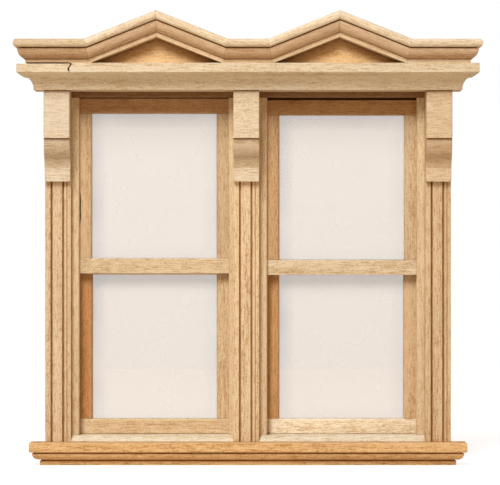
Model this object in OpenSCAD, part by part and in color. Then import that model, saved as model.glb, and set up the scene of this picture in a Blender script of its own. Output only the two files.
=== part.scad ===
// Double sash window for a 1:12 doll's house, in bare basswood.
// Two lights share a centre post. Each light has an upper sash in the front groove and a lower sash in the
// rear groove. Fluted pilasters with corbels carry a coved cornice, and a crown moulding rises over two
// gables above it. A moulded apron hides the frame's lower edge.
// X runs to the right seen from the front, Y runs back into the wall and Z runs up. The origin is on the
// wall face, at the middle of the frame's underside.

/* [Lights] */
// Clear width of each light, between the front lips of its two sides
light_w = 53.2; // [40:0.1:80]
// Clear height of each light, from the sill board to the head
light_h = 120.2; // [90:0.1:180]

/* [Frame strips] */
// Thickness of the left and right jambs
jamb_t = 3.75; // [3:0.05:8]
// Width of the centre post
post_w = 13.7; // [11:0.1:25]
// Thickness of the head board
head_t = 3.6; // [2.5:0.1:8]
// How far the head's parting strip hangs down between the upper and lower sashes' tracks
head_parting_h = 0.9; // [0.3:0.1:1.5]
// Thickness of the sill board
sill_t = 2.1; // [1.5:0.1:4]
// Height of the sill nose's front edge, below its bevel
nose_edge_h = 0.3; // [0.2:0.1:1]
// Depth of the sash grooves
groove_d = 1.1; // [0.8:0.1:1.4]
// Thickness of the lip in front of the front groove
front_lip = 1.6; // [1:0.1:3]
// Thickness of the strip left between the two grooves
parting = 1.0; // [0.6:0.1:2]
// Thickness of the lip behind the rear groove
rear_lip = 1.7; // [1:0.1:4]
// Bevel on the edge of each front lip
lip_bevel = 0.4; // [0.1:0.05:0.8]

/* [Sashes] */
// Thickness of the sash rails and stiles
sash_t = 2.4; // [2:0.1:4]
// Height of each sash rail
rail_h = 5.4; // [4:0.1:8]
// Width of each sash stile
stile_w = 5.3; // [4:0.1:8]
// How far the upper and lower sash pass each other at the meeting rails
meeting_lap = 4.6; // [2:0.1:6]
// Bevel on the sash members' front edges, round the pane
sash_bevel = 0.5; // [0.2:0.05:0.7]
// Free room between a sash's edge and the bottom of its groove
side_play = 0.15; // [0.1:0.05:0.4]
// Free room in front of a sash, and the same behind it
face_play = 0.1; // [0.05:0.05:0.3]
// Gap that the lower sashes rest with above the sill
seat_gap = 0.1; // [0.05:0.05:0.3]
// How far below the head's lip the left upper sash hangs
left_drop = 0.2; // [0:0.1:1.5]
// How far below the head's lip the right upper sash hangs
right_drop = 0.8; // [0:0.1:1.5]
// How far the worn hollow in the left upper sash's outer edge reaches past the jamb's lip
hollow_d = 0.6; // [0.2:0.1:1]
// Height of that hollow's middle above the sash's lower edge
hollow_up = 23.3; // [12:0.1:40]
// Radius of that hollow
hollow_r = 36; // [20:1:60]

/* [Panes] */
// Thickness of the clear sheet
pane_t = 0.8; // [0.5:0.1:1.2]
// Depth of the pane groove in the rails and stiles
pane_groove_d = 1.0; // [0.6:0.1:1.5]
// Free room round a pane in its groove
pane_play = 0.05; // [0.02:0.01:0.1]

/* [Pilasters] */
// Width of each pilaster, and of the corbel on it
pilaster_w = 9.2; // [7:0.1:11]
// Thickness of each pilaster
pilaster_t = 3.2; // [2:0.1:5]
// How far each side pilaster laps over the edge of the frame
pilaster_lap = 1.0; // [0.5:0.1:2]
// How far the centre pilaster stands to the right of the post's middle
centre_shift = -0.6; // [-1.5:0.1:1.5]
// Width and depth of the two flutes
flute_w = 0.8; // [0.4:0.1:1.4]
flute_d = 0.9; // [0.3:0.1:1]
// Distance of the first flute's middle from a pilaster's left edge
first_flute = 2.35; // [1.5:0.05:3]
// Distance of the second flute's middle from a pilaster's right edge
second_flute = 2.75; // [2:0.05:3]
// Distance of the fine quirk's middle from a pilaster's right edge
quirk = 1.4; // [1:0.05:1.6]
// Width and depth of the quirk
quirk_w = 0.5; // [0.3:0.1:0.8]
quirk_d = 0.15; // [0.1:0.05:0.3]

/* [Corbels] */
// Depth of a corbel's block, from the pilaster's face
block_d = 6.0; // [4:0.1:9]
// Height of the block
block_h = 16.8; // [10:0.1:25]
// How far the scroll's top steps back from the block's face
block_step = 0.9; // [0.4:0.1:1.5]
// Height of the upright stretch at the top of the scroll
scroll_top_h = 2.4; // [0.5:0.1:4]
// Height of the scroll's double curve
scroll_h = 8.0; // [5:0.1:12]
// Depth of the corbel's foot, from the pilaster's face
foot_d = 1.9; // [1:0.1:3]
// Height of the upright stretch at the foot
foot_h = 4.8; // [2:0.1:8]

/* [Lower cornice] */
// How far the lower fillet stands out past the corbels' faces
cornice_lip = 1.3; // [0.3:0.1:3]
// How far the fascia stands out past the lower fillet
fascia_reach = 5.5; // [4.5:0.1:8]
// Height of the whole cornice
cornice_h = 9.15; // [8:0.05:14]
// Height of its fascia
fascia_h = 3.3; // [2.5:0.1:5]
// Height of the lower fillet
cornice_fillet_h = 1.0; // [0.5:0.1:1.5]
// Depth of the cove, from front to back
cove_w = 4.1; // [2:0.1:4.4]
// How far the lower fillet stands out past the side corbels
cornice_reach = 3.4; // [2:0.1:6]
// Distance of the crack from the fascia's left end
crack_in = 18.3; // [8:0.1:40]
// Width and depth of the crack
crack_w = 0.54; // [0.2:0.02:0.7]
crack_d = 4.0; // [1:0.1:6]
// How far the cornice's broken left end has settled
crack_settle = 0.3; // [0.1:0.05:0.8]
// How far the crown's foot stands clear above that settled end
foot_lift = 0.3; // [0.1:0.05:0.6]

/* [Crown] */
// Thickness of the gabled board behind the crown
board_t = 8.0; // [5:0.1:11]
// How far the crown's nose stands out past the cornice's fascia, in front and at the ends
crown_lip = 1.05; // [0.5:0.05:3]
// Height of the crown, square to its run
crown_h = 8.35; // [7.7:0.05:10]
// Depth that the gabled board's top lies below the crown's top
board_drop = 0.6; // [0.2:0.1:2]
// Distance of each gable's peak from its light's middle, towards the centre
gable_inset = 1.3; // [0:0.1:4]
// Half the width of each gable, along the crown's lower edge
gable_half_w = 23.5; // [15:0.1:24]
// Pitch of the gables, in degrees
pitch = 21.7; // [12:0.1:30]

/* [Apron] */
// Height of the apron
apron_h = 8.15; // [7.5:0.05:12]
// How far the apron stands out past the pilasters, in front and at the ends
apron_reach = 5.3; // [3:0.1:8]

/* [Hidden] */

basswood = [0.86, 0.72, 0.54];
pale_basswood = [0.90, 0.79, 0.64];
golden_basswood = [0.82, 0.65, 0.43];
clear_sheet = [0.93, 0.91, 0.88, 0.5];

over = 1; // how far a cutter runs past what it cuts
arc_steps = 12;

// Frame
track_w = sash_t + 2 * face_play;
front_track_y = front_lip;
rear_track_y = front_lip + track_w + parting;
frame_d = rear_track_y + track_w + rear_lip;
light_x = (post_w + light_w) / 2; // a light's middle
light_edge = post_w / 2 + light_w;
frame_half_w = light_edge + jamb_t;
head_z = sill_t + light_h; // the head's underside
frame_h = head_z + head_t;

// Sashes
sash_w = light_w + 2 * (groove_d - side_play);
sash_h = (light_h + meeting_lap) / 2;
pane_w = sash_w - 2 * stile_w + 2 * (pane_groove_d - pane_play);
pane_h = sash_h - 2 * rail_h + 2 * (pane_groove_d - pane_play);
pane_groove_w = pane_t + 2 * pane_play;
tongue_l = pane_groove_d - pane_play; // the stiles' tongues stop short of the rail grooves' floors
front_sash_y = front_track_y + face_play;
rear_sash_y = rear_track_y + face_play;
left_upper_z = head_z - left_drop - sash_h;
right_upper_z = head_z - right_drop - sash_h;
lower_z = sill_t + seat_gap;

// Casing
pilaster_x = frame_half_w - pilaster_lap + pilaster_w / 2;
casing_half_w = pilaster_x + pilaster_w / 2;
cornice_z = frame_h - 1.6; // the cornice laps over the head board's front
cornice_top = cornice_z + cornice_h;
pilaster_h = cornice_z;
corbel_h = block_h + scroll_top_h + scroll_h + foot_h;

// Depths from the wall face
cornice_foot_d = pilaster_t + block_d + cornice_lip;
cornice_d = cornice_foot_d + fascia_reach;
crown_d = cornice_d + crown_lip;
apron_d = pilaster_t + apron_reach;

// A return's inner end is this far from the middle, and its profile grows outwards from there. The crown's
// returns stand on the cornice's.
cornice_end = casing_half_w + cornice_reach - cornice_foot_d;
crown_end = cornice_end;
apron_end = casing_half_w + apron_reach - apron_d;
crack_x = cornice_end + cornice_d - crack_in;

// The crown's lower edge, seen from the front: level, over the left gable, level, over the right gable, level
gable_x = light_x - gable_inset;
gable_rise = gable_half_w * tan(pitch);
crown_path = [
    [-crown_end - crown_d, 0],
    [-gable_x - gable_half_w, 0], [-gable_x, gable_rise], [-gable_x + gable_half_w, 0],
    [gable_x - gable_half_w, 0], [gable_x, gable_rise], [gable_x + gable_half_w, 0],
    [crown_end + crown_d, 0]
];
crown_last = len(crown_path) - 1;

// ---- Profiles: [-depth from the wall face, height] ----

// Points along an arc or ellipse
function arc(cx, cy, rx, ry, from, to) =
    [for (i = [0:arc_steps]) let (a = from + (to - from) * i / arc_steps) [cx + rx * cos(a), cy + ry * sin(a)]];

// Fascia over a soffit that falls a little to a wide cove, which leans in to a small fillet. Height 0 is the
// cornice's underside.
soffit_fall = 0.8;
cove_lean = 12; // degrees between the cove's lower end and upright
function cornice_profile() =
    let (
        cove_h = cornice_h - fascia_h - soffit_fall - cornice_fillet_h,
        cove_rx = cove_w / cos(cove_lean),
        cove_rz = cove_h / (1 - sin(cove_lean))
    ) concat(
        [[0, 0], [-cornice_foot_d, 0]],
        arc(-cornice_foot_d - cove_w, cornice_fillet_h + cove_h - cove_rz, cove_rx, cove_rz, cove_lean, 90),
        [[-cornice_d, cornice_h - fascia_h], [-cornice_d, cornice_h], [0, cornice_h]]
    );

// Bead, ovolo, quirk and a rounded nose. Height 0 is the crown's lower edge, and back is its depth at the back.
bead_d = crown_d - 3.9;
bead_h = 1.4;
ovolo_w = 3.0;
ovolo_h = 3.5;
ovolo_z = 5.1; // the ovolo's top
nose_z = 5.5; // the nose's lower edge
nose_r = 1.1;
quirk_reach = 2; // how far the quirk under the nose stands out past the bead
function crown_profile(back) =
    concat(
        [[-back, 0], [-bead_d, 0], [-bead_d, bead_h], [-bead_d + 0.45, bead_h + 0.1]],
        arc(-bead_d + 0.4, ovolo_z, -ovolo_w, ovolo_h, -90, 0),
        [[-bead_d - quirk_reach, ovolo_z + 0.05], [-bead_d - quirk_reach, nose_z]],
        [[-crown_d + 0.9, nose_z], [-crown_d + 0.4, nose_z + 0.2], [-crown_d + 0.1, nose_z + 0.6]],
        [[-crown_d, nose_z + 1]],
        arc(-crown_d + nose_r, crown_h - nose_r, -nose_r, nose_r, 0, 90),
        [[-back, crown_h]]
    );

// Top fillet, quirk, ovolo, quirk and bottom fillet. Height 0 is the apron's top.
apron_fillet_h = 3.1;
apron_ovolo_w = 2.4;
apron_ovolo_h = 2.3;
apron_ovolo_z = 3.8; // depth of the ovolo's top below the apron's top
apron_foot_d = apron_d - 3.6;
function apron_profile() =
    concat(
        [[0, 0], [-apron_d + 0.25, 0], [-apron_d, -0.25], [-apron_d, -apron_fillet_h]],
        [[-apron_d + 0.35, -apron_fillet_h - 0.25], [-apron_d + 1.6, -apron_fillet_h - 0.35]],
        [[-apron_d + 1.6, -apron_ovolo_z + 0.05]],
        arc(-apron_foot_d - 0.2, -apron_ovolo_z, -apron_ovolo_w, -apron_ovolo_h, 0, 90),
        [[-apron_foot_d + 0.7, -apron_ovolo_z - apron_ovolo_h - 0.1]],
        [[-apron_foot_d + 0.7, -apron_ovolo_z - apron_ovolo_h - 0.4]],
        [[-apron_foot_d, -apron_ovolo_z - apron_ovolo_h - 0.5], [-apron_foot_d, -apron_h], [0, -apron_h]]
    );

// A corbel's side: block, step, upright, double curve and upright foot. Depth 0 is the pilaster's face and
// height 0 is the corbel's top.
function corbel_profile() =
    let (
        scroll_d = block_d - block_step,
        curve_z = -block_h - scroll_top_h,
        in = scroll_d - foot_d,
        bend = 2 * atan(in / scroll_h),
        r = scroll_h / (2 * sin(bend))
    ) concat(
        [[0, 0], [-block_d, 0], [-block_d, -block_h], [-scroll_d, -block_h - 0.2]],
        arc(-scroll_d + r, curve_z, -r, -r, 0, bend),
        arc(-foot_d - r, curve_z - scroll_h, r, r, bend, 0),
        [[-foot_d, -corbel_h], [0, -corbel_h]]
    );

// A triangle that cuts a bevel on an edge at the origin, where the wood lies at negative X and positive Y
function bevel(size) = [[-size - over, -over], [over, size + over], [over, -over]];

// ---- Shared shapes ----

// Extrudes a [-depth, height] profile along X
module run(points, from, to)
    translate([from, 0, 0]) rotate([90, 0, 90]) linear_extrude(to - from) polygon(points);

// Plan of a front length that is mitred at both ends: end is the half length at the wall face
module mitred_plan(end, depth, height)
    translate([0, 0, -height]) linear_extrude(3 * height) polygon([
        [-end + over, over], [-end - depth - 2 * over, -depth - 2 * over],
        [end + depth + 2 * over, -depth - 2 * over], [end - over, over]
    ]);

// A front length of moulding, mitred at both ends
module front_length(points, end, depth, height)
    intersection() {
        run(points, -end - depth - over, end + depth + over);
        mitred_plan(end, depth, height);
    }

// The left return of the same moulding: it runs back from the mitre to the wall
module left_return(points, end, depth, height)
    difference() {
        translate([-end, 0, 0]) rotate([90, 0, 0]) linear_extrude(depth + over) polygon(points);
        mitred_plan(end, depth, height);
    }

module right_return(points, end, depth, height)
    mirror([1, 0, 0]) left_return(points, end, depth, height);

// ---- Frame ----

// The two sash grooves of a side that faces +X, cut into a strip whose lips end at X = 0
module side_grooves(height)
    for (y = [front_track_y, rear_track_y])
        translate([-groove_d, y, -over]) cube([groove_d + over, track_w, height + 2 * over]);

// Cutter for the front edge of a lip that ends at X = 0
module lip_edge(height)
    translate([0, 0, -over]) linear_extrude(height + 2 * over) polygon(bevel(lip_bevel));

module left_jamb()
    color(basswood) translate([-light_edge, 0, sill_t]) difference() {
        translate([-jamb_t, 0, 0]) cube([jamb_t, frame_d, light_h]);
        side_grooves(light_h);
        lip_edge(light_h);
    }

module right_jamb()
    mirror([1, 0, 0]) left_jamb();

module centre_post()
    color(basswood) translate([0, 0, sill_t]) difference() {
        translate([-post_w / 2, 0, 0]) cube([post_w, frame_d, light_h]);
        for (side = [0, 1])
            mirror([side, 0, 0]) translate([post_w / 2, 0, 0]) {
                side_grooves(light_h);
                lip_edge(light_h);
            }
    }

module head_board()
    color(basswood) translate([0, 0, head_z]) difference() {
        union() {
            translate([-frame_half_w, 0, 0]) cube([2 * frame_half_w, frame_d, head_t]);
            // The parting strip hides the gaps over the upper sashes
            for (side = [-1, 1])
                translate([side * light_x - light_w / 2, front_track_y + track_w, -head_parting_h])
                    cube([light_w, parting, head_parting_h + over]);
        }
        for (side = [-1, 1], y = [front_track_y, rear_track_y])
            translate([side * light_x - light_w / 2 - groove_d, y, -over])
                cube([light_w + 2 * groove_d, track_w, groove_d + over]);
        for (side = [-1, 1])
            mirror([0, 1, 0]) run(bevel(lip_bevel), side * light_x - light_w / 2, side * light_x + light_w / 2);
    }

// The nose in front of the wall face is notched round the pilasters
module sill_board()
    color(pale_basswood) difference() {
        run([[frame_d, 0], [frame_d, sill_t], [0, sill_t], [-pilaster_t, nose_edge_h], [-pilaster_t, 0]],
            -frame_half_w, frame_half_w);
        for (x = [-pilaster_x, centre_shift, pilaster_x])
            translate([x - pilaster_w / 2, -pilaster_t - over, -over])
                cube([pilaster_w, pilaster_t + over, sill_t + 2 * over]);
    }

// ---- Pilasters and corbels ----

// A vertical V-shaped cut in a face at Y = -pilaster_t
module flute(x, width, depth)
    translate([x, -pilaster_t, -over]) linear_extrude(pilaster_h + 2 * over)
        polygon([[-width / 2, 0], [-width / 2, -over], [width / 2, -over], [width / 2, 0], [0, depth]]);

module pilaster(x)
    color(basswood) translate([x - pilaster_w / 2, 0, 0]) difference() {
        translate([0, -pilaster_t, 0]) cube([pilaster_w, pilaster_t, pilaster_h]);
        flute(first_flute, flute_w, flute_d);
        flute(pilaster_w - second_flute, flute_w, flute_d);
        flute(pilaster_w - quirk, quirk_w, quirk_d);
    }

module corbel(x)
    color(pale_basswood) translate([0, -pilaster_t, pilaster_h])
        run(corbel_profile(), x - pilaster_w / 2, x + pilaster_w / 2);

// ---- Lower cornice ----

// The crack wanders down through the fascia
module crack()
    translate([-crack_x, -cornice_d + crack_d, 0]) rotate([90, 0, 0]) linear_extrude(crack_d + over)
        polygon([
            [-crack_w, cornice_h + over], [crack_w, cornice_h + over], [2 * crack_w, cornice_h - 0.2 * fascia_h],
            [crack_w, cornice_h - 0.45 * fascia_h], [0.2 * crack_w, cornice_h - 0.6 * fascia_h],
            [0.6 * crack_w, cornice_h - 0.8 * fascia_h], [0.1 * crack_w, cornice_h - 0.95 * fascia_h],
            [-0.5 * crack_w, cornice_h - 0.8 * fascia_h], [-0.8 * crack_w, cornice_h - 0.6 * fascia_h],
            [0, cornice_h - 0.45 * fascia_h], [crack_w, cornice_h - 0.2 * fascia_h]
        ]);

// What the cornice's top has lost on the settled side of the crack
module settled_top()
    translate([-crack_x - 2 * casing_half_w, -2 * cornice_d, cornice_h - crack_settle])
        cube([2 * casing_half_w, 3 * cornice_d, crack_settle + over]);

module cornice_front()
    color(pale_basswood) translate([0, 0, cornice_z]) difference() {
        front_length(cornice_profile(), cornice_end, cornice_d, cornice_h);
        crack();
        settled_top();
    }

module cornice_left_return()
    color(pale_basswood) translate([0, 0, cornice_z]) difference() {
        left_return(cornice_profile(), cornice_end, cornice_d, cornice_h);
        settled_top();
    }

module cornice_right_return()
    color(pale_basswood) translate([0, 0, cornice_z])
        right_return(cornice_profile(), cornice_end, cornice_d, cornice_h);

// ---- Crown and pediment ----

// Angle of a stretch of the crown's path
function path_angle(i) =
    let (step = crown_path[i + 1] - crown_path[i]) atan2(step[1], step[0]);

// From a point of the path, the way up its mitre line for one millimetre of height square to the run
function mitre(i) =
    let (
        before = path_angle(max(i - 1, 0)),
        after = path_angle(min(i, crown_last - 1)),
        up = (before + after) / 2 + 90
    ) [cos(up), sin(up)] / cos((after - before) / 2);

// One length of the crown, from a point of the path to the next, cut along its two mitre lines
module crown_length(i) {
    start = crown_path[i];
    stop = crown_path[i + 1];
    length = norm(stop - start);
    color(pale_basswood) translate([0, 0, cornice_top]) intersection() {
        translate([start[0], 0, start[1]]) rotate([0, -path_angle(i), 0])
            run(crown_profile(board_t), -crown_h, length + crown_h);
        translate([0, over, 0]) rotate([90, 0, 0]) linear_extrude(crown_d + 2 * over)
            polygon([
                start - over * mitre(i), stop - over * mitre(i + 1),
                stop + (crown_h + over) * mitre(i + 1), start + (crown_h + over) * mitre(i)
            ]);
        mitred_plan(crown_end, crown_d, crown_h + gable_rise);
    }
}

// What the crown's foot has lost on the left of the crack
module lifted_foot()
    translate([-crack_x - 2 * casing_half_w, -2 * crown_d, cornice_top - over])
        cube([2 * casing_half_w, 3 * crown_d, over + foot_lift]);

module crown_left()
    color(pale_basswood) difference() {
        crown_length(0);
        lifted_foot();
    }

// The returns cover the ends of the gabled board
module crown_left_return()
    color(pale_basswood) difference() {
        translate([0, 0, cornice_top]) left_return(crown_profile(board_t), crown_end, crown_d, crown_h);
        lifted_foot();
    }

module crown_right_return()
    color(pale_basswood) translate([0, 0, cornice_top])
        right_return(crown_profile(board_t), crown_end, crown_d, crown_h);

// The board fills the two gables and backs the crown. It ends inside the returns.
module pediment_board()
    color(basswood) translate([0, 0, cornice_top]) intersection() {
        rotate([90, 0, 0]) linear_extrude(board_t)
            polygon(concat(
                [[-crown_end - crown_d, 0]],
                [for (i = [0:crown_last]) crown_path[i] + (crown_h - board_drop) * mitre(i)],
                [[crown_end + crown_d, 0]]
            ));
        translate([-crown_end - board_t, -2 * board_t, -over])
            cube([2 * (crown_end + board_t), 3 * board_t, crown_h + gable_rise + 3 * over]);
    }

// ---- Apron ----

module apron_front()
    color(golden_basswood) front_length(apron_profile(), apron_end, apron_d, apron_h);

module apron_left_return()
    color(golden_basswood) left_return(apron_profile(), apron_end, apron_d, apron_h);

module apron_right_return()
    color(golden_basswood) right_return(apron_profile(), apron_end, apron_d, apron_h);

// ---- Sashes: a sash's own frame starts at its lower left front corner ----

module place_sash(x, y, z)
    translate([x - sash_w / 2, y, z]) children();

// A rail whose pane edge is its top. The pane groove runs from end to end, and the bevel stops at the stiles.
module rail()
    color(basswood) difference() {
        cube([sash_w, sash_t, rail_h]);
        translate([-over, (sash_t - pane_groove_w) / 2, rail_h - pane_groove_d])
            cube([sash_w + 2 * over, pane_groove_w, pane_groove_d + over]);
        translate([0, 0, rail_h]) rotate([180, 0, 0])
            run(bevel(sash_bevel), stile_w - sash_bevel, sash_w - stile_w + sash_bevel);
    }

module bottom_rail()
    rail();

module top_rail()
    translate([0, 0, sash_h]) mirror([0, 0, 1]) rail();

// The left stile stands between the rails, with a tongue at each end in their pane grooves
module left_stile()
    color(basswood) difference() {
        union() {
            translate([0, 0, rail_h]) cube([stile_w, sash_t, sash_h - 2 * rail_h]);
            translate([0, (sash_t - pane_t) / 2, rail_h - tongue_l])
                cube([stile_w - pane_groove_d - pane_play, pane_t, sash_h - 2 * (rail_h - tongue_l)]);
        }
        translate([stile_w - pane_groove_d, (sash_t - pane_groove_w) / 2, 0])
            cube([pane_groove_d + over, pane_groove_w, sash_h]);
        translate([stile_w, 0, 0]) linear_extrude(sash_h) polygon(bevel(sash_bevel));
    }

module right_stile()
    translate([sash_w, 0, 0]) mirror([1, 0, 0]) left_stile();

// The left upper sash's outer edge is hollowed
module hollowed_stile() {
    reach = groove_d - side_play + hollow_d;
    difference() {
        left_stile();
        translate([reach - hollow_r, -over, hollow_up]) rotate([-90, 0, 0])
            cylinder(h = sash_t + 2 * over, r = hollow_r, $fn = 96);
    }
}

module pane()
    color(clear_sheet)
        translate([(sash_w - pane_w) / 2, (sash_t - pane_t) / 2, (sash_h - pane_h) / 2])
            cube([pane_w, pane_t, pane_h]);

left_jamb();
right_jamb();
centre_post();
head_board();
sill_board();
pilaster(-pilaster_x);  // left_pilaster
pilaster(centre_shift);  // centre_pilaster
pilaster(pilaster_x);  // right_pilaster
corbel(-pilaster_x);  // left_corbel
corbel(centre_shift);  // centre_corbel
corbel(pilaster_x);  // right_corbel
cornice_front();
cornice_left_return();
cornice_right_return();
pediment_board();
crown_left();
crown_length(1);  // crown_left_rake_up
crown_length(2);  // crown_left_rake_down
crown_length(3);  // crown_middle
crown_length(4);  // crown_right_rake_up
crown_length(5);  // crown_right_rake_down
crown_length(6);  // crown_right
crown_left_return();
crown_right_return();
apron_front();
apron_left_return();
apron_right_return();
place_sash(-light_x, front_sash_y, left_upper_z) top_rail();  // left_upper_top_rail
place_sash(-light_x, front_sash_y, left_upper_z) bottom_rail();  // left_upper_meeting_rail
place_sash(-light_x, front_sash_y, left_upper_z) hollowed_stile();  // left_upper_left_stile
place_sash(-light_x, front_sash_y, left_upper_z) right_stile();  // left_upper_right_stile
place_sash(-light_x, front_sash_y, left_upper_z) pane();  // left_upper_pane
place_sash(-light_x, rear_sash_y, lower_z) top_rail();  // left_lower_meeting_rail
place_sash(-light_x, rear_sash_y, lower_z) bottom_rail();  // left_lower_bottom_rail
place_sash(-light_x, rear_sash_y, lower_z) left_stile();  // left_lower_left_stile
place_sash(-light_x, rear_sash_y, lower_z) right_stile();  // left_lower_right_stile
place_sash(-light_x, rear_sash_y, lower_z) pane();  // left_lower_pane
place_sash(light_x, front_sash_y, right_upper_z) top_rail();  // right_upper_top_rail
place_sash(light_x, front_sash_y, right_upper_z) bottom_rail();  // right_upper_meeting_rail
place_sash(light_x, front_sash_y, right_upper_z) left_stile();  // right_upper_left_stile
place_sash(light_x, front_sash_y, right_upper_z) right_stile();  // right_upper_right_stile
place_sash(light_x, front_sash_y, right_upper_z) pane();  // right_upper_pane
place_sash(light_x, rear_sash_y, lower_z) top_rail();  // right_lower_meeting_rail
place_sash(light_x, rear_sash_y, lower_z) bottom_rail();  // right_lower_bottom_rail
place_sash(light_x, rear_sash_y, lower_z) left_stile();  // right_lower_left_stile
place_sash(light_x, rear_sash_y, lower_z) right_stile();  // right_lower_right_stile
place_sash(light_x, rear_sash_y, lower_z) pane();  // right_lower_pane
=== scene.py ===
import math
import random

import bmesh
import bpy
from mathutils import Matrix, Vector


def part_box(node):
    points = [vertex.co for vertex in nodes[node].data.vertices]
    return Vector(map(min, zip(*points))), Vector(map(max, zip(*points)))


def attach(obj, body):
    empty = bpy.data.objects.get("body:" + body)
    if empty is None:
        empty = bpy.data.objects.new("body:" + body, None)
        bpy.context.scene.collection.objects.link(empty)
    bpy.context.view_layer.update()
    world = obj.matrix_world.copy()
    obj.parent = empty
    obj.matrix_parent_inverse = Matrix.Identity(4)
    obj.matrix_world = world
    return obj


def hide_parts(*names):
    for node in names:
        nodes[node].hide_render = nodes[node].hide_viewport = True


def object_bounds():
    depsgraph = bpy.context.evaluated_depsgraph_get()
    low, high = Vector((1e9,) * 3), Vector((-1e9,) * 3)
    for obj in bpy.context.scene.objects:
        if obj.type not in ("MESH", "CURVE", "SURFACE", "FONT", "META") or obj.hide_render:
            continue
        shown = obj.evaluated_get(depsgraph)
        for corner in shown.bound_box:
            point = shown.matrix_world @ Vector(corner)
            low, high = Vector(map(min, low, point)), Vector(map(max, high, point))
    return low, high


# Bare basswood double sash window in 1:12 scale, with four sliding sashes and clear sheet panes.
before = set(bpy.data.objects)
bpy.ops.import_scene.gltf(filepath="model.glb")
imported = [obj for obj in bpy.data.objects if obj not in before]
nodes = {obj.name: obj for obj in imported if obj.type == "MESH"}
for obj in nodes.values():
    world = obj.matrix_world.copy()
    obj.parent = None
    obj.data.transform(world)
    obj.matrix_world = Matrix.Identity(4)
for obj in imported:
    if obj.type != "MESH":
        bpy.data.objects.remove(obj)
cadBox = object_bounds()
mm = 0.001
print("frame loaded:", len(nodes), "nodes")


def linear(hexColour):
    # sRGB hex to the linear colour that a socket wants
    parts = [int(hexColour[i:i + 2], 16) / 255 for i in (1, 3, 5)]
    return [c / 12.92 if c <= 0.04045 else ((c + 0.055) / 1.055) ** 2.4 for c in parts] + [1]


def addNode(tree, kind, settings=None, inputs=None):
    # Adds a node. settings are its own properties, inputs are numbers or the sockets that feed it.
    node = tree.nodes.new(kind)
    for name, value in (settings or {}).items():
        setattr(node, name, value)
    for name, value in (inputs or {}).items():
        socket = node.inputs[name]
        if isinstance(value, bpy.types.NodeSocket):
            tree.links.new(value, socket)
        else:
            socket.default_value = value
    return node


def newMaterial(name):
    material = bpy.data.materials.new(name)
    material.use_nodes = True
    material.node_tree.nodes.clear()
    return material


def ramp(tree, factor, stops):
    # Colour ramp with stops of (position, grey value or hex colour)
    node = addNode(tree, "ShaderNodeValToRGB", None, {"Fac": factor})
    marks = node.color_ramp.elements
    while len(marks) < len(stops):
        marks.new(0.5)
    for mark, (place, value) in zip(marks, stops):
        mark.position = place
        mark.color = linear(value) if isinstance(value, str) else (value, value, value, 1)
    return node.outputs["Color"]


# Each pattern's sizes in mm, along and across the grain, then its noise's detail and roughness. Real basswood
# fibre is finer than this, and it is drawn about twice as coarse so that it shows.
woodPattern = {
    "fibre": (3.6, 0.36, 2, 0.5),
    "band": (80, 2.6, 2, 0.5),
    "pore": (1.3, 0.22, 1, 0.4),
    "fuzz": (0.7, 0.4, 1, 0.5),
    "stain": (26, 9, 2, 0.5),
}
# How much each pattern counts in the colour, and where its noise turns from one shade to the next
woodShades = {
    "fibreShare": 0.45,
    "fuzzShare": 0.3,
    "bandShare": 0.25,
    "bandWander": 0.4,
    "darkMidLight": (0.37, 0.5, 0.63),
    "poreEdges": (0.60, 0.74),
    "poreDepth": 0.75,
    "stainEdges": (0.3, 0.7),
    "stainShade": 0.93,
    "bumpStrength": 0.7,
    "fibreRelief": 0.05,           # mm
    "roughness": (0.72, 0.54),     # between the fibres and on them
    "specular": 0.25,
}


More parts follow.
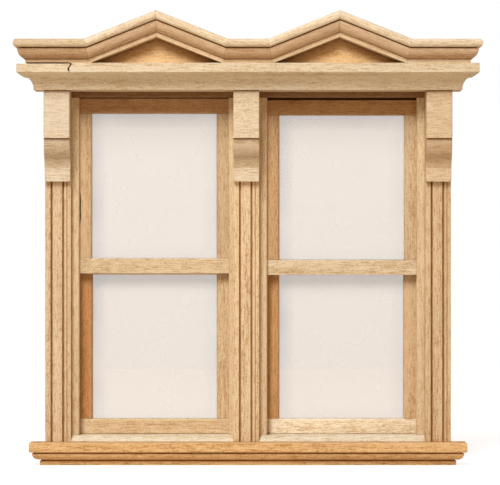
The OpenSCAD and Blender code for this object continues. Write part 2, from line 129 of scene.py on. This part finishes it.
def basswood(name, light, mid, dark, poreShade):
    # Raw machined basswood: pale, straight-grained and matt, with short open pores and faint growth bands
    material = newMaterial(name)
    tree = material.node_tree
    grain = addNode(tree, "ShaderNodeAttribute", {"attribute_name": "grain"}).outputs["Vector"]

    def stretched(kind, distort=0.0):
        along, across, detail, roughness = woodPattern[kind]
        place = addNode(tree, "ShaderNodeMapping", None,
                        {"Vector": grain, "Scale": (1 / along, 1 / across, 1 / across)})
        return addNode(tree, "ShaderNodeTexNoise", None, {
            "Vector": place.outputs["Vector"], "Scale": 1.0, "Detail": detail,
            "Roughness": roughness, "Distortion": distort}).outputs["Fac"]

    fibre = stretched("fibre")
    band = stretched("band", woodShades["bandWander"])
    pore = stretched("pore")
    fuzz = stretched("fuzz")
    stain = stretched("stain")

    bandPart = addNode(tree, "ShaderNodeMath", {"operation": "MULTIPLY"},
                       {0: band, 1: woodShades["bandShare"]})
    fuzzPart = addNode(tree, "ShaderNodeMath", {"operation": "MULTIPLY_ADD"},
                       {0: fuzz, 1: woodShades["fuzzShare"], 2: bandPart.outputs[0]})
    summed = addNode(tree, "ShaderNodeMath", {"operation": "MULTIPLY_ADD"},
                     {0: fibre, 1: woodShades["fibreShare"], 2: fuzzPart.outputs[0]})
    colour = ramp(tree, summed.outputs[0], list(zip(woodShades["darkMidLight"], (dark, mid, light))))
    pores = ramp(tree, pore, list(zip(woodShades["poreEdges"], (0.0, 1.0))))
    poreMix = addNode(tree, "ShaderNodeMath", {"operation": "MULTIPLY"},
                      {0: pores, 1: woodShades["poreDepth"] * poreShade})
    darker = addNode(tree, "ShaderNodeMix", {"data_type": "RGBA"},
                     {0: poreMix.outputs[0], 6: colour, 7: linear(dark)})
    stainShade = ramp(tree, stain, list(zip(woodShades["stainEdges"], (woodShades["stainShade"], 1.0))))
    stained = addNode(tree, "ShaderNodeMix", {"data_type": "RGBA", "blend_type": "MULTIPLY"},
                      {0: 1.0, 6: darker.outputs[2], 7: stainShade})
    tone = addNode(tree, "ShaderNodeAttribute", {"attribute_name": "toneColour"}).outputs["Color"]
    toned = addNode(tree, "ShaderNodeMix", {"data_type": "RGBA", "blend_type": "MULTIPLY"},
                    {0: 1.0, 6: stained.outputs[2], 7: tone})
    height = addNode(tree, "ShaderNodeMath", {"operation": "SUBTRACT"}, {0: fibre, 1: poreMix.outputs[0]})
    bump = addNode(tree, "ShaderNodeBump", None, {
        "Height": height.outputs[0], "Strength": woodShades["bumpStrength"],
        "Distance": woodShades["fibreRelief"] * mm})
    between, onFibre = woodShades["roughness"]
    rough = addNode(tree, "ShaderNodeMapRange", None,
                    {"Value": fibre, "To Min": between, "To Max": onFibre})
    shader = addNode(tree, "ShaderNodeBsdfPrincipled", None, {
        "Base Color": toned.outputs[2], "Roughness": rough.outputs["Result"],
        "Specular IOR Level": woodShades["specular"], "Normal": bump.outputs["Normal"]})
    addNode(tree, "ShaderNodeOutputMaterial", None, {"Surface": shader.outputs["BSDF"]})
    return material


sheetLook = {
    "hazeScale": 60.0,       # per metre
    "speckScale": 1400.0,    # per metre
    "speckShare": 0.06,
    "shadowFull": 0.6,         # the haze times the painted shadow's amount that shows as painted shadow alone
    "shadowColour": "#867a72",
    "roughness": (0.22, 0.34),
    "ior": 1.49,
    "specular": 0.3,
}


def acrylicSheet(name, tint, alpha):
    # Thin cast acrylic sheet, a little milky, so that it holds the rails' shadows, with a painted shadow at
    # its edges
    material = newMaterial(name)
    tree = material.node_tree
    place = addNode(tree, "ShaderNodeTexCoord").outputs["Object"]
    haze = addNode(tree, "ShaderNodeTexNoise", None,
                   {"Vector": place, "Scale": sheetLook["hazeScale"], "Detail": 1.0,
                    "Roughness": 0.5}).outputs["Fac"]
    speck = addNode(tree, "ShaderNodeTexNoise", None,
                    {"Vector": place, "Scale": sheetLook["speckScale"], "Detail": 2.0,
                     "Roughness": 0.6}).outputs["Fac"]
    both = addNode(tree, "ShaderNodeMath", {"operation": "MULTIPLY_ADD"},
                   {0: speck, 1: sheetLook["speckShare"], 2: haze})
    clean = addNode(tree, "ShaderNodeMix", {"data_type": "RGBA"},
                    {0: both.outputs[0], 6: linear(tint[0]), 7: linear(tint[1])}).outputs[2]
    # Painted shadow along the sheet's edges, deepest on the left and at the top
    edgeShadow = addNode(tree, "ShaderNodeAttribute", {"attribute_name": "edgeShadow"}).outputs["Fac"]
    broken = addNode(tree, "ShaderNodeMath", {"operation": "MULTIPLY"}, {0: edgeShadow, 1: haze})
    shadowed = addNode(tree, "ShaderNodeMapRange", None,
                    {"Value": broken.outputs[0], "From Max": sheetLook["shadowFull"], "To Max": 1.0})
    colour = addNode(tree, "ShaderNodeMix", {"data_type": "RGBA"}, {
        0: shadowed.outputs["Result"], 6: clean, 7: linear(sheetLook["shadowColour"])}).outputs[2]
    smooth, matt = sheetLook["roughness"]
    rough = addNode(tree, "ShaderNodeMapRange", None, {"Value": haze, "To Min": smooth, "To Max": matt})
    shader = addNode(tree, "ShaderNodeBsdfPrincipled", None, {
        "Base Color": colour, "Roughness": rough.outputs["Result"], "IOR": sheetLook["ior"],
        "Specular IOR Level": sheetLook["specular"], "Alpha": alpha})
    addNode(tree, "ShaderNodeOutputMaterial", None, {"Surface": shader.outputs["BSDF"]})
    return material


# Each wood's name, then its light, middle and dark shades and how much its pores show
woods = {
    "frame_wood": basswood("basswood milled strip", "#dfc49d", "#d3b68d", "#b58f60", 0.45),
    "sash_wood": basswood("basswood sash strip", "#e0c6a1", "#d4b78f", "#b58e60", 0.4),
    "casing_wood": basswood("basswood fluted casing", "#e3c8a0", "#d8b98e", "#ad8355", 0.6),
    "corbel_wood": basswood("basswood scroll-cut block", "#e8d3b4", "#dec5a1", "#c4a172", 0.3),
    "moulding_wood": basswood("basswood moulding, pale", "#e7d0ae", "#ddc29c", "#c29e6f", 0.3),
    "board_wood": basswood("basswood board", "#e2c69c", "#d9b98a", "#b58a58", 0.4),
    "apron_wood": basswood("basswood moulding, golden", "#e6c08d", "#dbae76", "#b07d46", 0.4),
}
acrylic = acrylicSheet("cast acrylic sheet, milky", ("#d7ccbf", "#dbd0c3"), 0.36)
print("materials made:", len(woods) + 1)


def reliefTree():
    # Geometry Nodes that wear a piece: a noise sinks its surface a little, and most of all its edges
    tree = bpy.data.node_groups.new("sawnEdges", "GeometryNodeTree")
    face = tree.interface
    face.new_socket("Geometry", in_out="INPUT", socket_type="NodeSocketGeometry")
    sizes = {}
    for name, kind in [("Edge wear", "NodeSocketFloat"), ("Wave length", "NodeSocketFloat"),
                       ("Seed", "NodeSocketFloat"), ("Wood", "NodeSocketMaterial")]:
        sizes[name] = face.new_socket(name, in_out="INPUT", socket_type=kind).identifier
    face.new_socket("Geometry", in_out="OUTPUT", socket_type="NodeSocketGeometry")
    given = addNode(tree, "NodeGroupInput")
    grain = addNode(tree, "GeometryNodeInputNamedAttribute", {"data_type": "FLOAT_VECTOR"}, {"Name": "grain"})
    edge = addNode(tree, "GeometryNodeInputNamedAttribute", {"data_type": "FLOAT"}, {"Name": "edgeShare"})
    closer = addNode(tree, "ShaderNodeVectorMath", {"operation": "DIVIDE"}, {
        0: grain.outputs["Attribute"], 1: given.outputs["Wave length"]})
    noise = addNode(tree, "ShaderNodeTexNoise", {"noise_dimensions": "4D"}, {
        "Vector": closer.outputs[0], "W": given.outputs["Seed"], "Scale": 1.0, "Detail": 3.0,
        "Roughness": 0.7})
    share = addNode(tree, "ShaderNodeMath", {"operation": "MULTIPLY"}, {
        0: noise.outputs["Fac"], 1: edge.outputs["Attribute"]})
    depth = addNode(tree, "ShaderNodeMath", {"operation": "MULTIPLY"}, {
        0: share.outputs[0], 1: given.outputs["Edge wear"]})
    inward = addNode(tree, "ShaderNodeMath", {"operation": "MULTIPLY"}, {0: depth.outputs[0], 1: -1.0})
    normal = addNode(tree, "GeometryNodeInputNormal")
    move = addNode(tree, "ShaderNodeVectorMath", {"operation": "SCALE"}, {
        0: normal.outputs["Normal"], "Scale": inward.outputs[0]})
    worn = addNode(tree, "GeometryNodeSetPosition", None, {
        "Geometry": given.outputs["Geometry"], "Offset": move.outputs[0]})
    real = addNode(tree, "GeometryNodeRealizeInstances", None, {"Geometry": worn.outputs["Geometry"]})
    finished = addNode(tree, "GeometryNodeSetMaterial", None, {
        "Geometry": real.outputs["Geometry"], "Material": given.outputs["Wood"]})
    addNode(tree, "NodeGroupOutput", None, {"Geometry": finished.outputs["Geometry"]})
    return tree, sizes


sawnEdges, sawnInputs = reliefTree()
woodLook = {
    "eased": math.radians(24),     # edges bent more than this are rounded
    "worn": math.radians(18),      # edges bent more than this are worn
    "shaded": math.radians(20),    # edges bent more than this are shaded sharp
    "flat": math.radians(0.6),     # faces bent less than this become one
    "flatWear": 0.15,              # share of the wear on vertices away from an edge
    "longEnough": 2.5,             # an eased edge's least length, in roundings
    "wideEnough": 2.3,             # the least width of the faces beside it, in roundings
    "easeSteps": 2,
    "waveLength": 1.6,             # mm, of the wear along the grain
    "waveSeeds": 50,
    "grainShift": 400,             # mm, so that no two pieces have the same grain
    "seed": 41,
}
closeVerts, onPlane = 2e-6, 1e-7   # metres, for vertices that become one and those that a cut passes through
pieceRandom = random.Random(woodLook["seed"])


def roomAcross(edge, face):
    # Width of a face, square to one of its edges
    start = edge.verts[0].co
    along = (edge.verts[1].co - start).normalized()
    return max(((v.co - start) - along * (v.co - start).dot(along)).length for v in face.verts)


def easeEdges(bm, width, only=None):
    # Rounds the outer edges that have wood enough on both sides
    chosen = []
    for edge in bm.edges:
        if len(edge.link_faces) != 2 or edge.calc_length() < woodLook["longEnough"] * width:
            continue
        if edge.calc_face_angle_signed(0) < woodLook["eased"]:
            continue
        if min(roomAcross(edge, face) for face in edge.link_faces) < woodLook["wideEnough"] * width:
            continue
        if only is None or only(edge):
            chosen.append(edge)
    if chosen:
        bmesh.ops.bevel(bm, geom=chosen, offset=width, offset_type="OFFSET", segments=woodLook["easeSteps"],
                        profile=0.5, affect="EDGES", clamp_overlap=False)


def cadMesh(node):
    # A copy of a CAD node's mesh, with its flat faces whole again
    bm = bmesh.new()
    bm.from_mesh(nodes[node].data)
    bmesh.ops.remove_doubles(bm, verts=bm.verts[:], dist=closeVerts)
    bmesh.ops.dissolve_limit(bm, angle_limit=woodLook["flat"], verts=bm.verts[:], edges=bm.edges[:])
    return bm


def cutPlane(bm, place, normal):
    bmesh.ops.bisect_plane(bm, geom=bm.verts[:] + bm.edges[:] + bm.faces[:], dist=onPlane,
                           plane_co=place, plane_no=normal)


def cutSlices(bm, along, step):
    # Cuts the faces at even steps along the grain, so that the wear has vertices to move
    reach = [v.co.dot(along) for v in bm.verts]
    low, high = min(reach), max(reach)
    count = max(2, int((high - low) / step))
    for i in range(1, count):
        cutPlane(bm, along * (low + (high - low) * i / count), along)


def plainMesh(bm, name):
    # The CAD mesh's stored normals don't fit the new faces, so they are left out
    mesh = bpy.data.meshes.new(name)
    bm.to_mesh(mesh)
    bm.free()
    stored = mesh.attributes.get("custom_normal")
    if stored:
        mesh.attributes.remove(stored)
    return mesh


def showPiece(mesh, name):
    piece = bpy.data.objects.new(name, mesh)
    bpy.context.scene.collection.objects.link(piece)
    return piece


def grainAxes(along):
    # The grain's direction and two directions square to it
    across = Vector((0, 1, 0)) if abs(along.y) < 0.9 else Vector((1, 0, 0))
    side = along.cross(across).normalized()
    return along, side.cross(along).normalized(), side


def woodPiece(node, body, slotName, run=None, ease=0.12, step=1.2, wear=0.06, tone=(1, 1, 1), eased=None,
              paintedShade=None, cuts=()):
    # A finished copy of a CAD node, which it replaces. run is the way of its grain, or None for its longest
    # edge's. ease, step and wear are in mm. eased lists roundings with the edges that get them, in place of
    # ease. paintedShade gives painted shade as the tone of some faces, and cuts are the heights where the
    # faces are cut for it.
    bm = cadMesh(node)
    if run is None:
        longest = max(bm.edges, key=lambda e: e.calc_length())
        run = longest.verts[1].co - longest.verts[0].co
    along = Vector(run).normalized()
    if along.x < 0:
        along = -along
    if eased:
        for width, only in eased:
            easeEdges(bm, width * mm, only)
    else:
        easeEdges(bm, ease * mm)
    cutSlices(bm, along, step * mm)
    for height in cuts:
        cutPlane(bm, (0, 0, height), (0, 0, 1))
    bmesh.ops.recalc_face_normals(bm, faces=bm.faces[:])
    bm.normal_update()
    bm.verts.index_update()
    wornVerts = {v.index for e in bm.edges if len(e.link_faces) == 2
                  and e.calc_face_angle(0) > woodLook["worn"] for v in e.verts}
    mesh = plainMesh(bm, node + "_wood")
    axes = grainAxes(along)
    shift = [pieceRandom.uniform(-woodLook["grainShift"], woodLook["grainShift"]) for axis in axes]
    grain, edgeShare, toneColour = [], [], []
    for v in mesh.vertices:
        grain += [v.co.dot(axis) / mm + off for axis, off in zip(axes, shift)]
        edgeShare.append(1.0 if v.index in wornVerts else woodLook["flatWear"])
    for face in mesh.polygons:
        for corner in face.vertices:
            share = (paintedShade and paintedShade(face, mesh.vertices[corner].co)) or (1, 1, 1)
            toneColour += [a * b for a, b in zip(tone, share)] + [1.0]
    mesh.attributes.new("grain", "FLOAT_VECTOR", "POINT").data.foreach_set("vector", grain)
    mesh.attributes.new("edgeShare", "FLOAT", "POINT").data.foreach_set("value", edgeShare)
    mesh.attributes.new("toneColour", "FLOAT_COLOR", "CORNER").data.foreach_set("color", toneColour)
    piece = showPiece(mesh, node + "_wood")
    wearing = piece.modifiers.new("sawnEdges", "NODES")
    wearing.node_group = sawnEdges
    wearing[sawnInputs["Edge wear"]] = wear * mm
    wearing[sawnInputs["Wave length"]] = woodLook["waveLength"]
    wearing[sawnInputs["Seed"]] = pieceRandom.uniform(0, woodLook["waveSeeds"])
    wearing[sawnInputs["Wood"]] = woods[slotName]
    bpy.context.view_layer.update()
    worn = piece.evaluated_get(bpy.context.evaluated_depsgraph_get())
    made = bpy.data.meshes.new_from_object(worn)
    piece.modifiers.clear()
    piece.data = made
    made.shade_smooth()
    made.set_sharp_from_angle(angle=woodLook["shaded"])
    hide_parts(node)
    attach(piece, body)


levelRun, uprightRun, deepRun = (1, 0, 0), (0, 0, 1), (0, 1, 0)

# The sheet's edges lie in the grooves of the rails and stiles. A painted shadow lies where the sheet comes
# out of them:
# a thin line all round, and a soft shade that is deepest on the left and at the top, where the frame stands
# before the light
paneLook = {
    "tuck": 0.95,   # mm, as are the next three
    "rim": 0.35,
    "fade": 5.5,
    "ease": 0.08,
    "lineShare": 0.35,
    "left": 1.0,
    "right": 0.35,
    "bottom": 0.15,
    "top": 0.8,
}


def held(value):
    # The value, held between 0 and 1
    return max(0.0, min(1.0, value))


def clearPane(node, body):
    # A pane with rings of faces along its seen edge, for the painted shadow there
    bm = cadMesh(node)
    easeEdges(bm, paneLook["ease"] * mm)
    low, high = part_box(node)
    rimEnd, hazeEnd = paneLook["tuck"] + paneLook["rim"], paneLook["tuck"] + paneLook["fade"]
    for axis, side in [(0, 1), (0, -1), (2, 1), (2, -1)]:
        for cut in (paneLook["tuck"], rimEnd, hazeEnd):
            place, normal = low.copy() if side > 0 else high.copy(), Vector((0, 0, 0))
            place[axis] += side * cut * mm
            normal[axis] = 1
            cutPlane(bm, place, normal)
    mesh = plainMesh(bm, node + "_sheet")
    # Painted shadow: a thin line at the edge and a soft shade, deepest on the left and at the top
    edgeShadow = []
    for v in mesh.vertices:
        sides = [(v.co.x - low.x, paneLook["left"]), (high.x - v.co.x, paneLook["right"]),
                 (v.co.z - low.z, paneLook["bottom"]), (high.z - v.co.z, paneLook["top"])]
        line = held((rimEnd - min(gap for gap, share in sides) / mm) / paneLook["rim"])
        haze = max(share * held((hazeEnd - gap / mm) / (hazeEnd - rimEnd)) for gap, share in sides)
        edgeShadow.append(paneLook["lineShare"] * line + (1 - paneLook["lineShare"]) * haze)
    mesh.attributes.new("edgeShadow", "FLOAT", "POINT").data.foreach_set("value", edgeShadow)
    mesh.materials.append(acrylic)
    piece = showPiece(mesh, node + "_sheet")
    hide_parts(node)
    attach(piece, body)


# The head board's dark tone is painted shade, for the cornice's shadow on it, and the sill board's pale tone
# is painted light on its up-facing nose
frameStrips = {
    "left_jamb": (uprightRun, (1, 1, 1)),
    "right_jamb": (uprightRun, (1, 1, 1)),
    "centre_post": (uprightRun, (1, 1, 1)),
    "head_board": (levelRun, (0.38, 0.25, 0.17)),
    "sill_board": (levelRun, (1.15, 1.35, 1.7)),
}
for name, (run, tone) in frameStrips.items():
    woodPiece(name, "frame", "frame_wood", run, tone=tone)

# Painted shade darkens the flutes, the quirks, the lines under the corbels and the gap under the crown
creaseShade = {
    "flute": (0.74, 0.58, 0.46),
    "shadowLine": (0.42, 0.3, 0.22),
    "quirk": (0.4, 0.27, 0.18),
    "gap": (0.2, 0.2, 0.22),
    "jointHeight": 0.4,   # mm, as are the next three
    "fluteFrom": 0.3,     # from the casing's edge
    "fluteDepth": 0.08,
    "gapHeight": 0.6,
}

casings = {
    "left": (0.93, 0.93, 0.96),
    "centre": (1.0, 1.0, 1.0),
    "right": (0.9, 0.88, 0.86),
}


def casingShade(node, foot):
    # Painted shade in the flutes, and a painted shadow line under the corbel's foot
    low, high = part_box(node)

    def tone(face, point):
        if face.normal.y > 0.9 or abs(face.normal.z) > 0.9:
            return None
        if foot - creaseShade["jointHeight"] * mm - 1e-6 < face.center.z < foot:
            return creaseShade["shadowLine"]
        edge = creaseShade["fluteFrom"] * mm
        inside = low.x + edge < face.center.x < high.x - edge
        return creaseShade["flute"] if inside and face.center.y > low.y + creaseShade["fluteDepth"] * mm else None
    return tone


for side, tone in casings.items():
    name = side + "_pilaster"
    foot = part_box(side + "_corbel")[0].z
    woodPiece(name, "frame", "casing_wood", uprightRun, ease=0.08, wear=0.1, tone=tone,
              paintedShade=casingShade(name, foot), cuts=[foot - creaseShade["jointHeight"] * mm])

corbels = {
    "left_corbel": (0.89, 0.92, 1.0),
    "centre_corbel": (0.91, 0.92, 0.94),
    "right_corbel": (0.87, 0.81, 0.77),
}
corbelEase = {"left": 0.5, "right": 0.3}
# The scroll's tone is painted shade on its down-turned curve
scroll = {"top": 16.8, "foot": 27.2, "tone": (0.8, 0.74, 0.68)}   # mm below the corbel's top


def corbelSides(node):
    # Which edges belong to a corbel's left and right outline
    low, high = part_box(node)

    def near(x):
        return lambda edge: all(abs(v.co.x - x) < 0.05 * mm for v in edge.verts)
    return [(corbelEase["left"], near(low.x)), (corbelEase["right"], near(high.x))]


def corbelShade(node):
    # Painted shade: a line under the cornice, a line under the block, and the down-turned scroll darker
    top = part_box(node)[1].z

    def tone(face, point):
        down = (top - face.center.z) / mm
        if face.normal.z > 0.9 or face.normal.y > 0.9:
            return None
        if down < creaseShade["jointHeight"] or scroll["top"] < down < scroll["top"] + creaseShade["jointHeight"]:
            return creaseShade["shadowLine"]
        return scroll["tone"] if scroll["top"] < down < scroll["foot"] else None
    return tone


for name, tone in corbels.items():
    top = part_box(name)[1].z
    woodPiece(name, "frame", "corbel_wood", levelRun, step=0.9, tone=tone, eased=corbelSides(name),
              paintedShade=corbelShade(name), cuts=[top - creaseShade["jointHeight"] * mm,
                                           top - (scroll["top"] + creaseShade["jointHeight"]) * mm])

mouldings = {
    "cornice_front": (levelRun, (0.9, 0.94, 0.99)),
    "cornice_left_return": (deepRun, (0.9, 0.94, 0.99)),
    "cornice_right_return": (deepRun, (0.9, 0.94, 0.99)),
    "crown_left": (levelRun, (0.85, 0.84, 0.82)),
    "crown_left_rake_up": (None, (1.02, 1.08, 1.18)),
    "crown_left_rake_down": (None, (1.0, 1.04, 1.1)),
    "crown_middle": (levelRun, (0.93, 0.94, 0.95)),
    "crown_right_rake_up": (None, (1.0, 1.05, 1.12)),
    "crown_right_rake_down": (None, (1.0, 1.06, 1.15)),
    "crown_right": (levelRun, (0.95, 1.0, 1.1)),
    "crown_left_return": (deepRun, (0.85, 0.84, 0.82)),
    "crown_right_return": (deepRun, (0.95, 1.0, 1.1)),
}
# Places in the crown's section, in mm behind its nose
crownSection = {
    "quirk": (1.7, 2.1),
    "ovolo": (1.2, 3.85),
    "bead": (3.8, 4.1),
    # Painted shade on the ovolo under the nose, and a slightly darker bead
    "ovoloTone": (0.82, 0.68, 0.58),
    "beadTone": (0.95, 0.84, 0.72),
}
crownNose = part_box("crown_middle")[0].y
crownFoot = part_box("cornice_front")[1].z


def crownShade(face, point):
    # Painted shade: the quirk under the nose, the open gap under the foot and the ovolo are darkened, and the
    # bead a little
    back = (face.center.y - crownNose) / mm
    if face.normal.z < -0.95 and face.center.z < crownFoot + creaseShade["gapHeight"] * mm:
        return creaseShade["gap"]
    if crownSection["quirk"][0] < back < crownSection["quirk"][1] and face.normal.y < -0.97:
        return creaseShade["quirk"]
    if crownSection["bead"][0] < back < crownSection["bead"][1] and face.normal.y < -0.97:
        return crownSection["beadTone"]
    inside = crownSection["ovolo"][0] < back < crownSection["ovolo"][1]
    return crownSection["ovoloTone"] if inside and face.normal.y < -0.05 else None


for name, (run, tone) in mouldings.items():
    woodPiece(name, "frame", "moulding_wood", run, ease=0.1, tone=tone,
              paintedShade=crownShade if name.startswith("crown") and "return" not in name else None)

# The gables, in mm: a painted shadow darkens the board under the two rakes, fading to a lighter tone lower
# down
gables = {
    "peaks": (-32.15, 32.15),
    "halfWidth": 23.5,
    "rise": 9.35,
    "fade": 5.0,
    "curve": 0.8,
    "dark": (0.34, 0.2, 0.12),
    "pale": (1.16, 1.06, 0.93),
    "cuts": 12,
}


# Painted shadow under each rake, and a lighter tone below it
def boardShade(face, point):
    if face.normal.y > -0.9:
        return None
    x, up = point.x / mm, (point.z - crownFoot) / mm
    nearest = min(gables["peaks"], key=lambda peak: abs(x - peak))
    edge = gables["rise"] * (1 - abs(x - nearest) / gables["halfWidth"])
    share = held((edge - up) / gables["fade"]) ** gables["curve"]
    return [a + (b - a) * share for a, b in zip(gables["dark"], gables["pale"])]


woodPiece("pediment_board", "frame", "board_wood", levelRun, step=1.5, paintedShade=boardShade,
          cuts=[crownFoot + gables["rise"] * mm * i / gables["cuts"] for i in range(1, gables["cuts"])])

apronQuirks = [(3.4, 3.8), (6.15, 6.6)]   # mm below the apron's top
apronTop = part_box("apron_front")[1].z


# Painted shade in the apron's two quirks
def apronShade(face, point):
    down = (apronTop - face.center.z) / mm
    sunk = any(top < down < foot for top, foot in apronQuirks) and face.normal.y < -0.97
    return creaseShade["quirk"] if sunk else None


woodPiece("apron_front", "frame", "apron_wood", levelRun, ease=0.1, paintedShade=apronShade)
for name in ("apron_left_return", "apron_right_return"):
    woodPiece(name, "frame", "apron_wood", deepRun, ease=0.1)
print("frame, casing and mouldings made")

# Each sash strip has its own tone. The darker tones on the top rails, the upper stiles and the lower left
# stiles are painted shade, for the cornice's shadow above them and the casings' shadow beside them
sashes = {
    "left_upper_sash": {
        "top_rail": (levelRun, (0.68, 0.51, 0.38)),
        "meeting_rail": (levelRun, (1, 1.02, 1.06)),
        "left_stile": (uprightRun, (0.83, 0.76, 0.68)),
        "right_stile": (uprightRun, (0.81, 0.77, 0.73)),
    },
    "left_lower_sash": {
        "meeting_rail": (levelRun, (1, 1, 1)),
        "bottom_rail": (levelRun, (1.05, 1.03, 1.0)),
        "left_stile": (uprightRun, (0.76, 0.51, 0.3)),
        "right_stile": (uprightRun, (1.0, 0.97, 0.92)),
    },
    "right_upper_sash": {
        "top_rail": (levelRun, (0.66, 0.48, 0.31)),
        "meeting_rail": (levelRun, (0.98, 1.03, 1.1)),
        "left_stile": (uprightRun, (0.79, 0.66, 0.53)),
        "right_stile": (uprightRun, (0.87, 0.85, 0.81)),
    },
    "right_lower_sash": {
        "meeting_rail": (levelRun, (1, 1, 1)),
        "bottom_rail": (levelRun, (1.25, 1.4, 1.65)),
        "left_stile": (uprightRun, (0.81, 0.58, 0.38)),
        "right_stile": (uprightRun, (0.93, 0.86, 0.8)),
    },
}
for body, members in sashes.items():
    start = body[:-len("sash")]
    for member, (run, tone) in members.items():
        woodPiece(start + member, body, "sash_wood", run, ease=0.1, tone=tone)
    clearPane(start + "pane", body)
print("sashes made")


studio = {
    "floorSize": 1.2,
    "floorDrop": 0.02,             # mm below the object
    "floorSeen": "#a8a6a2",
    "floorGlow": 0.85,
    "floorBounce": "#efe4d2",
    "key": (-0.21, -0.77, 0.85),   # place of the main light
    "keySize": (0.32, 0.62),
    "keyPower": 14.4,
    "keyColour": (0.88, 0.945, 1.0),
    "fill": 0.3,
    "fillColour": (1.0, 0.66, 0.42),
    "camera": (0.0007, -0.8, 0.0707),
    "lens": 161.8,
}
aim = Vector((0, 0, 0.075))

floorMesh = bpy.data.meshes.new("floor")
half = studio["floorSize"] / 2
low = cadBox[0].z - studio["floorDrop"] * mm
floorMesh.from_pydata([(-half, -half, low), (half, -half, low), (half, half, low), (-half, half, low)],
                      [], [(0, 1, 2, 3)])
floor = bpy.data.objects.new("floor", floorMesh)
bpy.context.scene.collection.objects.link(floor)
floorMaterial = newMaterial("pale matt floor")
floorTree = floorMaterial.node_tree
# The camera sees an almost white floor that still takes a shadow, and the window is lit by the light that a
# warm, matt one throws back
matt = addNode(floorTree, "ShaderNodeBsdfDiffuse", None, {"Color": linear(studio["floorSeen"])})
glow = addNode(floorTree, "ShaderNodeEmission", None,
               {"Color": (1, 1, 1, 1), "Strength": studio["floorGlow"]})
bright = addNode(floorTree, "ShaderNodeAddShader", None, {0: matt.outputs[0], 1: glow.outputs[0]})
bounce = addNode(floorTree, "ShaderNodeBsdfDiffuse", None, {"Color": linear(studio["floorBounce"])})
floorSeen = addNode(floorTree, "ShaderNodeLightPath").outputs["Is Camera Ray"]
floorShader = addNode(floorTree, "ShaderNodeMixShader", None,
                      {0: floorSeen, 1: bounce.outputs[0], 2: bright.outputs[0]})
addNode(floorTree, "ShaderNodeOutputMaterial", None, {"Surface": floorShader.outputs[0]})
floorMesh.materials.append(floorMaterial)


def areaLight(name, place, target, size, power, colour):
    lamp = bpy.data.lights.new(name, "AREA")
    lamp.shape = "ELLIPSE"
    lamp.size, lamp.size_y = size
    lamp.energy = power
    lamp.color = colour
    light = bpy.data.objects.new(name, lamp)
    light.location = place
    light.rotation_euler = (Vector(target) - Vector(place)).to_track_quat("-Z", "Y").to_euler()
    bpy.context.scene.collection.objects.link(light)


areaLight("keyLight", studio["key"], aim, studio["keySize"], studio["keyPower"], studio["keyColour"])

world = bpy.data.worlds.new("studio")
bpy.context.scene.world = world
world.use_nodes = True
worldTree = world.node_tree
worldTree.nodes.clear()
seen = addNode(worldTree, "ShaderNodeLightPath").outputs["Is Camera Ray"]
fillSky = addNode(worldTree, "ShaderNodeBackground", None,
                  {"Color": (*studio["fillColour"], 1), "Strength": studio["fill"]})
whiteSky = addNode(worldTree, "ShaderNodeBackground", None, {"Color": (1, 1, 1, 1), "Strength": 1.0})
sky = addNode(worldTree, "ShaderNodeMixShader", None,
              {0: seen, 1: fillSky.outputs[0], 2: whiteSky.outputs[0]})
addNode(worldTree, "ShaderNodeOutputWorld", None, {"Surface": sky.outputs[0]})

cameraData = bpy.data.cameras.new("camera")
cameraData.lens = studio["lens"]
cameraData.sensor_width = 36
cameraData.clip_start, cameraData.clip_end = 0.01, 20
camera = bpy.data.objects.new("camera", cameraData)
camera.location = studio["camera"]
camera.rotation_euler = (math.radians(90), 0, 0)
bpy.context.scene.collection.objects.link(camera)
bpy.context.scene.camera = camera
bpy.context.scene.view_settings.view_transform = "Standard"
print("floor, light and camera set")
